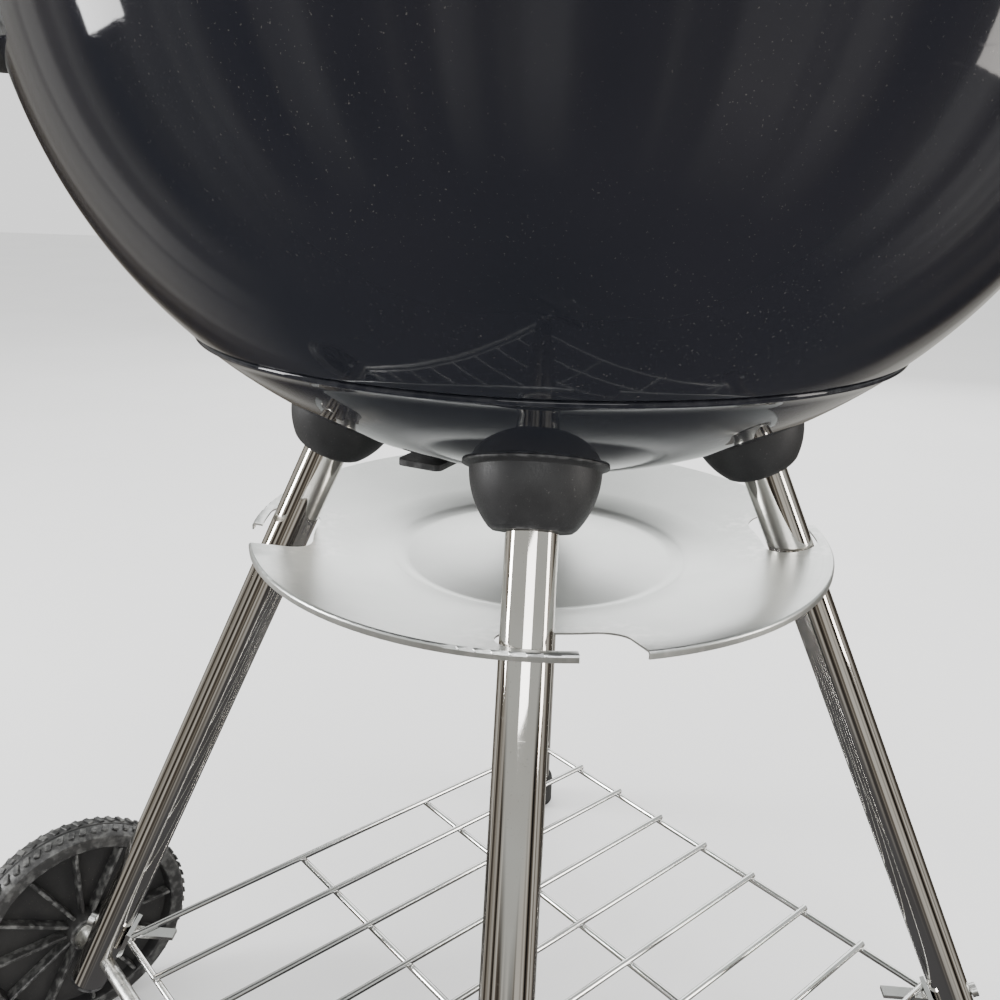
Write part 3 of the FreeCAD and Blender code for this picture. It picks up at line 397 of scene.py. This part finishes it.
plastic, tree, shader = new_finish("black_moulding")
dust = shared(tree, dust_group)
wear = shared(tree, wear_group)
grain = noise_field(tree, 1400.0, 2.0)
tone = ramp(tree, noise_field(tree, 40.0, 4.0), [(0.3, (0.012, 0.012, 0.013)),
                                                 (0.75, (0.022, 0.022, 0.023))])
speckled = mixed(tree, dust.outputs["Dust"], tone, (0.13, 0.12, 0.115))
rubbed = mixed(tree, wear.outputs["Wear"], speckled, (0.07, 0.07, 0.07))
tree.links.new(rubbed, shader.inputs["Base Color"])
tree.links.new(ramp(tree, grain, [(0.3, 0.42), (0.7, 0.60)]), shader.inputs["Roughness"])
bumped(tree, shader, grain, 0.25, 0.0002)


def copied(node, name, sharp=32):
    """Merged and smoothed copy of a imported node, so that curved faces shade as one surface."""
    bpy.ops.object.select_all(action="DESELECT")
    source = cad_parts[node]
    piece = bpy.data.objects.new(name, source.data.copy())
    piece.data.name = name
    bpy.context.scene.collection.objects.link(piece)
    bpy.context.view_layer.objects.active = piece
    piece.select_set(True)
    bpy.ops.object.mode_set(mode="EDIT")
    bpy.ops.mesh.select_all(action="SELECT")
    bpy.ops.mesh.customdata_custom_splitnormals_clear()
    bpy.ops.mesh.remove_doubles(threshold=0.000004)
    bpy.ops.object.mode_set(mode="OBJECT")
    bpy.ops.object.shade_smooth_by_angle(angle=math.radians(sharp))
    return piece


for side in LEG_SIDES:
    cup = copied("leg_cup_" + side, "seat_cup_" + side)
    finished(cup, plastic, "black_plastic", "stand_and_bowl", "leg_cup_" + side)

# ----------------------------------------------------------------------- legs
# Four straight one-inch steel tubes, chrome plated and polished, with faint marks in the plate.
# The two wheel legs end in moulded plugs, the other two stand in black rubber caps.
chrome, tree, shader = new_finish("chrome_plate")
dust = shared(tree, dust_group)
warm = ramp(tree, noise_field(tree, 12.0, 3.0), [(0.3, (0.66, 0.62, 0.57)),
                                                 (0.7, (0.78, 0.76, 0.73))])
spotted = mixed(tree, dust.outputs["Dust"], warm, (0.45, 0.42, 0.38))
tree.links.new(spotted, shader.inputs["Base Color"])
shader.inputs["Metallic"].default_value = 1.0
tree.links.new(ramp(tree, dust.outputs["Marks"], [(0.0, 0.05), (1.0, 0.14)]),
               shader.inputs["Roughness"])
bumped(tree, shader, noise_field(tree, 90.0, 2.0, 0.5, (1, 1, 0.2)), 0.03, 0.0004)

for side in LEG_SIDES:
    leg = copied("leg_" + side, "chrome_leg_" + side, 28)
    finished(leg, chrome, "chrome_tube", "stand_and_bowl", "leg_" + side)

rubber, tree, shader = new_finish("black_rubber")
dust = shared(tree, dust_group)
grit = noise_field(tree, 700.0, 3.0)
bloom = ramp(tree, noise_field(tree, 30.0, 4.0), [(0.35, (0.018, 0.018, 0.018)),
                                                  (0.7, (0.038, 0.037, 0.035))])
dusty = mixed(tree, dust.outputs["Dust"], bloom, (0.17, 0.16, 0.14))
tree.links.new(dusty, shader.inputs["Base Color"])
tree.links.new(ramp(tree, grit, [(0.3, 0.62), (0.7, 0.85)]), shader.inputs["Roughness"])
bumped(tree, shader, grit, 0.35, 0.0003)

for side in ("right", "back"):
    foot = copied("foot_cap_" + side, "rubber_foot_" + side)
    finished(foot, rubber, "black_rubber", "stand_and_bowl", "foot_cap_" + side)
for side in ("left", "front"):
    plug = copied("leg_plug_" + side, "tube_plug_" + side)
    finished(plug, plastic, "black_plastic", "stand_and_bowl", "leg_plug_" + side)

# ------------------------------------------------------------------- ash dish
# Shallow dish spun from 1 mm aluminium: a raised bead ring round a low dome, a rolled rim and
# four hooked notches that twist over the legs. Satin, with fine rings left by the spinning.
aluminium, tree, shader = new_finish("spun_aluminium")
dust = shared(tree, dust_group)
wear = shared(tree, wear_group)
spot = tree.nodes.new("ShaderNodeTexCoord")
apart = tree.nodes.new("ShaderNodeSeparateXYZ")
centred = tree.nodes.new("ShaderNodeMapping")
centred.inputs["Location"].default_value = -BOWL_MIDDLE
tree.links.new(spot.outputs["Object"], centred.inputs["Vector"])
tree.links.new(centred.outputs["Vector"], apart.inputs["Vector"])
flat_spot = tree.nodes.new("ShaderNodeCombineXYZ")
tree.links.new(apart.outputs["X"], flat_spot.inputs["X"])
tree.links.new(apart.outputs["Y"], flat_spot.inputs["Y"])
reach = tree.nodes.new("ShaderNodeVectorMath")
reach.operation = "LENGTH"
tree.links.new(flat_spot.outputs["Vector"], reach.inputs[0])
rings = tree.nodes.new("ShaderNodeTexNoise")
rings.noise_dimensions = "1D"
rings.inputs["Scale"].default_value = 1500.0
rings.inputs["Detail"].default_value = 3.0
tree.links.new(reach.outputs["Value"], rings.inputs["W"])
cloud = ramp(tree, noise_field(tree, 14.0, 4.0), [(0.3, (0.70, 0.715, 0.70)),
                                                  (0.7, (0.80, 0.815, 0.80))])
dulled = mixed(tree, dust.outputs["Dust"], cloud, (0.55, 0.54, 0.50))
brightened = mixed(tree, wear.outputs["Wear"], dulled, (0.90, 0.90, 0.89))
tree.links.new(brightened, shader.inputs["Base Color"])
shader.inputs["Metallic"].default_value = 1.0
tree.links.new(ramp(tree, rings.outputs["Fac"], [(0.3, 0.30), (0.7, 0.40)]),
               shader.inputs["Roughness"])
bumped(tree, shader, rings.outputs["Fac"], 0.10, 0.0001)

dish = copied("ash_catcher", "spun_ash_dish", 25)
finished(dish, aluminium, "spun_aluminium", "ash_dish", "ash_catcher")

# ---------------------------------------------------------------- bottom rack
# Welded wire rack between the legs, bright plated, with four pressed lugs bolted to the tubes.
# The small bolts, domed nuts, axle, washers and rivets are zinc plated steel.
bright_wire, tree, shader = new_finish("bright_wire")
dust = shared(tree, dust_group)
plate = ramp(tree, noise_field(tree, 60.0, 3.0), [(0.3, (0.78, 0.78, 0.77)),
                                                  (0.7, (0.88, 0.88, 0.87))])
tree.links.new(mixed(tree, dust.outputs["Dust"], plate, (0.5, 0.48, 0.45)),
               shader.inputs["Base Color"])
shader.inputs["Metallic"].default_value = 1.0
tree.links.new(ramp(tree, dust.outputs["Marks"], [(0.0, 0.10), (1.0, 0.22)]),
               shader.inputs["Roughness"])
bumped(tree, shader, noise_field(tree, 300.0, 2.0), 0.08, 0.0002)

zinc, tree, shader = new_finish("zinc_plate")
dust = shared(tree, dust_group)
wear = shared(tree, wear_group)
spangle = ramp(tree, noise_field(tree, 160.0, 4.0), [(0.3, (0.50, 0.50, 0.49)),
                                                     (0.7, (0.66, 0.66, 0.64))])
tarnish = mixed(tree, dust.outputs["Dust"], spangle, (0.35, 0.32, 0.28))
tree.links.new(mixed(tree, wear.outputs["Wear"], tarnish, (0.82, 0.82, 0.8)),
               shader.inputs["Base Color"])
shader.inputs["Metallic"].default_value = 1.0
tree.links.new(ramp(tree, noise_field(tree, 220.0, 3.0), [(0.3, 0.26), (0.7, 0.40)]),
               shader.inputs["Roughness"])
bumped(tree, shader, noise_field(tree, 500.0, 2.0), 0.10, 0.0002)

shelf = copied("wire_shelf", "welded_rack")
finished(shelf, bright_wire, "chrome_wire", "stand_and_bowl", "wire_shelf")
for node in ("shelf_bolts", "leg_bolts", "axle", "axle_washers", "grate_rests",
             "wheel_cap_left", "wheel_cap_front", "bowl_damper_rivet", "side_handle_screws",
             "right_handle_bracket", "left_handle_bracket"):
    small = copied(node, "plated_" + node)
    finished(small, zinc, "zinc_steel", "stand_and_bowl", node)
inserts = copied("leg_inserts", "threaded_inserts")
finished(inserts, plastic, "black_plastic", "stand_and_bowl", "leg_inserts")

# --------------------------------------------------------------------- wheels
# Blow-moulded black wheels on the axle behind the left and front legs: a crowned tread with two
# rows of slanting bars, a dished face stiffened by spokes, and a long hub.
WHEEL_HALF = 0.020
WHEEL_BORE = 0.00508
WHEEL_TURNS = 120
WHEEL_SHARP = 35
TREAD_BARS = 60
BAR_SIZE = (0.0016, 0.0042, 0.0076)
BAR_SLANT = 24
BAR_PLACE = (0.0790, 0.0062)
BAR_EDGE = 0.0004
SPOKES = 12
SPOKE_SIZE = (0.0530, 0.0026, 0.0095)
SPOKE_PLACE = (0.0395, 0.0085)
SPOKE_EDGE = 0.0006

wheel_plastic, tree, shader = new_finish("wheel_moulding")
dust = shared(tree, dust_group)
wear = shared(tree, wear_group)
grain = noise_field(tree, 500.0, 3.0)
tone = ramp(tree, noise_field(tree, 25.0, 4.0), [(0.3, (0.016, 0.016, 0.017)),
                                                 (0.75, (0.032, 0.031, 0.030))])
speckled = mixed(tree, dust.outputs["Dust"], tone, (0.18, 0.17, 0.15))
tree.links.new(mixed(tree, wear.outputs["Wear"], speckled, (0.12, 0.12, 0.115)),
               shader.inputs["Base Color"])
tree.links.new(ramp(tree, grain, [(0.3, 0.34), (0.7, 0.52)]), shader.inputs["Roughness"])
bumped(tree, shader, grain, 0.18, 0.0002)

wheel_outline = [(WHEEL_BORE, -WHEEL_HALF), (0.0120, -WHEEL_HALF), (0.0130, -WHEEL_HALF + 0.001),
                 (0.0140, -0.0045), (0.0155, -0.004), (0.0640, -0.004), (0.0652, -0.0045),
                 (0.0668, -0.0135), (0.0675, -0.014), (0.0745, -0.014)]
wheel_outline += [(0.0760, -0.0138), (0.0775, -0.0115), (0.0786, -0.006), (0.0788, -0.0012),
                  (0.0780, -0.0006), (0.0780, 0.0006), (0.0788, 0.0012), (0.0786, 0.006),
                  (0.0775, 0.0115), (0.0760, 0.0138)]
wheel_outline += [(0.0745, 0.014), (0.0675, 0.014), (0.0668, 0.0135), (0.0652, 0.0045),
                  (0.0640, 0.004), (0.0155, 0.004), (0.0140, 0.0045),
                  (0.0130, WHEEL_HALF - 0.001), (0.0120, WHEEL_HALF), (WHEEL_BORE, WHEEL_HALF)]


def joined(pieces):
    """Several pieces made one mesh; the first one keeps its name."""
    bpy.ops.object.select_all(action="DESELECT")
    for piece in pieces:
        piece.select_set(True)
    bpy.context.view_layer.objects.active = pieces[0]
    bpy.ops.object.join()
    return pieces[0]


def chamfered_block(size, place, edge):
    """Small moulded block with bevelled edges, given its place by a matrix."""
    bpy.ops.object.select_all(action="DESELECT")
    bpy.ops.mesh.primitive_cube_add(size=1)
    block = bpy.context.object
    block.data.transform(Matrix.Diagonal((*size, 1)))
    bpy.ops.object.mode_set(mode="EDIT")
    bpy.ops.mesh.select_all(action="SELECT")
    bpy.ops.mesh.bevel(offset=edge, segments=1, affect="EDGES")
    bpy.ops.object.mode_set(mode="OBJECT")
    block.data.transform(place)
    return block


def copied_round(first, count):
    """Copies of a piece evenly round the upright axis, each with its own mesh."""
    ring = [first]
    for number in range(1, count):
        twin = first.copy()
        twin.data = first.data.copy()
        bpy.context.scene.collection.objects.link(twin)
        twin.data.transform(Matrix.Rotation(math.tau * number / count, 4, "Z"))
        ring.append(twin)
    return ring


wheel = spun("moulded_wheel_left", wheel_outline, WHEEL_TURNS, WHEEL_SHARP, closed=True)
parts = [wheel]
for row in (-1, 1):
    slant = Matrix.Rotation(math.radians(BAR_SLANT * row), 4, "X")
    place = Matrix.Translation((BAR_PLACE[0], 0, row * BAR_PLACE[1])) @ slant
    bar = chamfered_block(BAR_SIZE, place, BAR_EDGE)
    parts += copied_round(bar, TREAD_BARS)
for face in (-1, 1):
    place = Matrix.Translation((SPOKE_PLACE[0], 0, face * SPOKE_PLACE[1]))
    spoke = chamfered_block(SPOKE_SIZE, place, SPOKE_EDGE)
    parts += copied_round(spoke, SPOKES)
wheel = joined(parts)
bpy.ops.object.shade_smooth_by_angle(angle=math.radians(WHEEL_SHARP))

for side, body, out in (("left", "left_wheel", (-1, 1, 0)), ("front", "front_wheel", (1, -1, 0))):
    low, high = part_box("wheel_" + side)
    middle = (low + high) / 2
    twin = wheel
    if side == "left":
        twin = wheel.copy()
        twin.data = wheel.data.copy()
        bpy.context.scene.collection.objects.link(twin)
    twin.name = "moulded_wheel_" + side
    twin.data.name = twin.name
    facing = Vector(out).to_track_quat("Z", "Y").to_matrix().to_4x4()
    twin.data.transform(Matrix.Translation(middle) @ facing)
    finished(twin, wheel_plastic, "wheel_plastic", body, "wheel_" + side)

# -------------------------------------------------------------------- dampers
# Aluminium discs pressed to the curve of the pan and of the lid, each turning on one rivet.
# A short black tab is riveted under the lower damper's arm.
damper_metal, tree, shader = new_finish("damper_aluminium")
dust = shared(tree, dust_group)
wear = shared(tree, wear_group)
brush = noise_field(tree, 320.0, 4.0, 0.6, (1, 8, 1))
shade = ramp(tree, noise_field(tree, 35.0, 3.0), [(0.3, (0.62, 0.62, 0.61)),
                                                  (0.7, (0.74, 0.74, 0.73))])
heated = mixed(tree, dust.outputs["Dust"], shade, (0.42, 0.38, 0.33))
tree.links.new(mixed(tree, wear.outputs["Wear"], heated, (0.88, 0.88, 0.87)),
               shader.inputs["Base Color"])
shader.inputs["Metallic"].default_value = 1.0
tree.links.new(ramp(tree, brush, [(0.3, 0.28), (0.7, 0.44)]), shader.inputs["Roughness"])
bumped(tree, shader, brush, 0.12, 0.0001)

low_damper = copied("bowl_damper", "pan_damper", 30)
finished(low_damper, damper_metal, "damper_alu", "bowl_vent", "bowl_damper")
tab = copied("damper_tab", "damper_finger_tab", 30)
finished(tab, plastic, "black_plastic", "bowl_vent", "damper_tab")
top_damper = copied("lid_damper", "lid_vent_damper", 30)
finished(top_damper, damper_metal, "damper_alu", "lid_vent", "lid_damper")

# --------------------------------------------------------------------- grates
# Two round grates of welded wire that drop onto ledges in the bowl: plated wire for cooking
# and plain steel, browned by the fire, for the charcoal.
fire_wire, tree, shader = new_finish("fired_steel_wire")
dust = shared(tree, dust_group)
scorch = ramp(tree, noise_field(tree, 26.0, 5.0), [(0.25, (0.16, 0.13, 0.11)),
                                                   (0.55, (0.30, 0.29, 0.27)),
                                                   (0.8, (0.40, 0.39, 0.38))])
tree.links.new(mixed(tree, dust.outputs["Dust"], scorch, (0.5, 0.48, 0.45)),
               shader.inputs["Base Color"])
shader.inputs["Metallic"].default_value = 0.9
tree.links.new(ramp(tree, noise_field(tree, 120.0, 3.0), [(0.3, 0.35), (0.7, 0.6)]),
               shader.inputs["Roughness"])
bumped(tree, shader, noise_field(tree, 420.0, 3.0), 0.2, 0.0003)

cook = copied("cooking_grate", "cooking_grate_wires")
finished(cook, bright_wire, "chrome_wire", "cook_grate", "cooking_grate")
coal = copied("charcoal_grate", "charcoal_grate_wires")
finished(coal, fire_wire, "grate_steel", "coal_grate", "charcoal_grate")

# -------------------------------------------------------------------- handles
# Barrel-shaped moulded grips held by screws between the ends of bent steel straps; the straps
# are screwed through the lid's crown and through the sides of the bowl.
for node, body in (("lid_handle_grip", "lid"), ("right_handle_grip", "stand_and_bowl"),
                   ("left_handle_grip", "stand_and_bowl")):
    grip = copied(node, "moulded_" + node)
    finished(grip, plastic, "black_plastic", body, node)
for node in ("lid_handle_bracket", "lid_handle_screws", "lid_damper_rivet"):
    fixing = copied(node, "plated_" + node)
    finished(fixing, zinc, "zinc_steel", "lid", node)

# -------------------------------------------------- floor, light and camera
# Plain pale floor that metal doesn't mirror, with five soft lights on stands round the grill,
# a pale room and a low camera close to the bowl.
bpy.ops.object.select_all(action="DESELECT")
bpy.ops.mesh.primitive_plane_add(size=14, location=(0, 0, 0))
floor = bpy.context.object
floor.name = "pale_floor"
floor_finish, tree, shader = new_finish("pale_floor_paint")
tree.links.new(ramp(tree, noise_field(tree, 3.0, 4.0), [(0.3, (0.86, 0.86, 0.855)),
                                                        (0.7, (0.89, 0.89, 0.885))]),
               shader.inputs["Base Color"])
shader.inputs["Roughness"].default_value = 0.6
floor.data.materials.append(floor_finish)
floor.visible_glossy = False
floor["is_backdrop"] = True


def soft_light(name, place, aim, width, height, power, tint=(1, 1, 1)):
    """Rectangular soft light pointed at a spot."""
    lamp = bpy.data.lights.new(name, "AREA")
    lamp.shape = "RECTANGLE"
    lamp.size = width
    lamp.size_y = height
    lamp.energy = power
    lamp.color = tint
    stand = bpy.data.objects.new(name, lamp)
    bpy.context.scene.collection.objects.link(stand)
    stand.location = place
    stand.rotation_mode = "QUATERNION"
    stand.rotation_quaternion = (Vector(aim) - Vector(place)).to_track_quat("-Z", "Y")


soft_light("window_light", (-2.4, -0.2, 1.1), (0, 0, 0.6), 0.5, 1.6, 60)
soft_light("top_light", (0.2, -0.4, 3.0), (0, 0, 0.6), 2.6, 2.6, 70)
soft_light("right_light", (2.4, -0.3, 0.9), (0, 0, 0.5), 0.5, 1.6, 22, (1, 0.95, 0.9))
soft_light("front_light", (0.4, -3.2, 1.75), (0, 0, 0.6), 2.2, 0.7, 30)
soft_light("back_light", (0.4, 2.6, 1.2), (0, 0, 0.5), 2.6, 1.6, 30)

# The room: white walls above the horizon and a dim brown-grey hall below it in reflections.
room = bpy.data.worlds.new("soft_room")
bpy.context.scene.world = room
room.use_nodes = True
tree = room.node_tree
way = tree.nodes.new("ShaderNodeTexCoord")
apart = tree.nodes.new("ShaderNodeSeparateXYZ")
tree.links.new(way.outputs["Generated"], apart.inputs["Vector"])
level = ramp(tree, apart.outputs["Z"], [(0.0, 0.0), (0.12, 1.0)])
round_way = tree.nodes.new("ShaderNodeCombineXYZ")
tree.links.new(apart.outputs["X"], round_way.inputs["X"])
tree.links.new(apart.outputs["Y"], round_way.inputs["Y"])
bearing = tree.nodes.new("ShaderNodeVectorMath")
bearing.operation = "NORMALIZE"
tree.links.new(round_way.outputs["Vector"], bearing.inputs[0])
hall = tree.nodes.new("ShaderNodeTexNoise")
hall.inputs["Scale"].default_value = 3.4
hall.inputs["Detail"].default_value = 2.0
tree.links.new(bearing.outputs["Vector"], hall.inputs["Vector"])
low_room = ramp(tree, hall.outputs["Fac"], [(0.36, (0.015, 0.014, 0.013)),
                                            (0.46, (0.10, 0.085, 0.07)),
                                            (0.52, (0.22, 0.20, 0.17)),
                                            (0.62, (0.70, 0.68, 0.63))])
dip = tree.nodes.new("ShaderNodeMath")
dip.operation = "MULTIPLY"
dip.inputs[1].default_value = -1.0
tree.links.new(apart.outputs["Z"], dip.inputs[0])
steep = ramp(tree, dip.outputs["Value"], [(0.45, 0.0), (0.75, 1.0)])
hall_floor = mixed(tree, steep, low_room, (0.10, 0.10, 0.105))
reflected = mixed(tree, level, hall_floor, (0.62, 0.64, 0.62))
glance = tree.nodes.new("ShaderNodeLightPath")
seen = mixed(tree, glance.outputs["Is Glossy Ray"], (1.5, 1.5, 1.5), reflected)
tree.links.new(seen, tree.nodes["Background"].inputs["Color"])
tree.nodes["Background"].inputs["Strength"].default_value = 0.9

# A low camera close to the bowl, its place measured from the bowl's axis on the floor.
CAMERA_PLACE = Vector((0.0145, -0.5741, 0.6378))
CAMERA_AHEAD = Vector((-0.063642, 0.945449, -0.319495))
CAMERA_UP = Vector((-0.051407, 0.316613, 0.947161))
CAMERA_LENS = 36.56

eye = bpy.data.cameras.new("close_camera")
eye.sensor_width = 36
eye.lens = CAMERA_LENS
eye.clip_start = 0.01
camera = bpy.data.objects.new("close_camera", eye)
bpy.context.scene.collection.objects.link(camera)
bpy.context.scene.camera = camera
camera_across = CAMERA_AHEAD.cross(CAMERA_UP)
camera_turn = Matrix((camera_across, CAMERA_UP, -CAMERA_AHEAD)).transposed()
camera.matrix_world = Matrix.Translation(CAMERA_PLACE + BOWL_MIDDLE) @ camera_turn.to_4x4()

low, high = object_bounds()
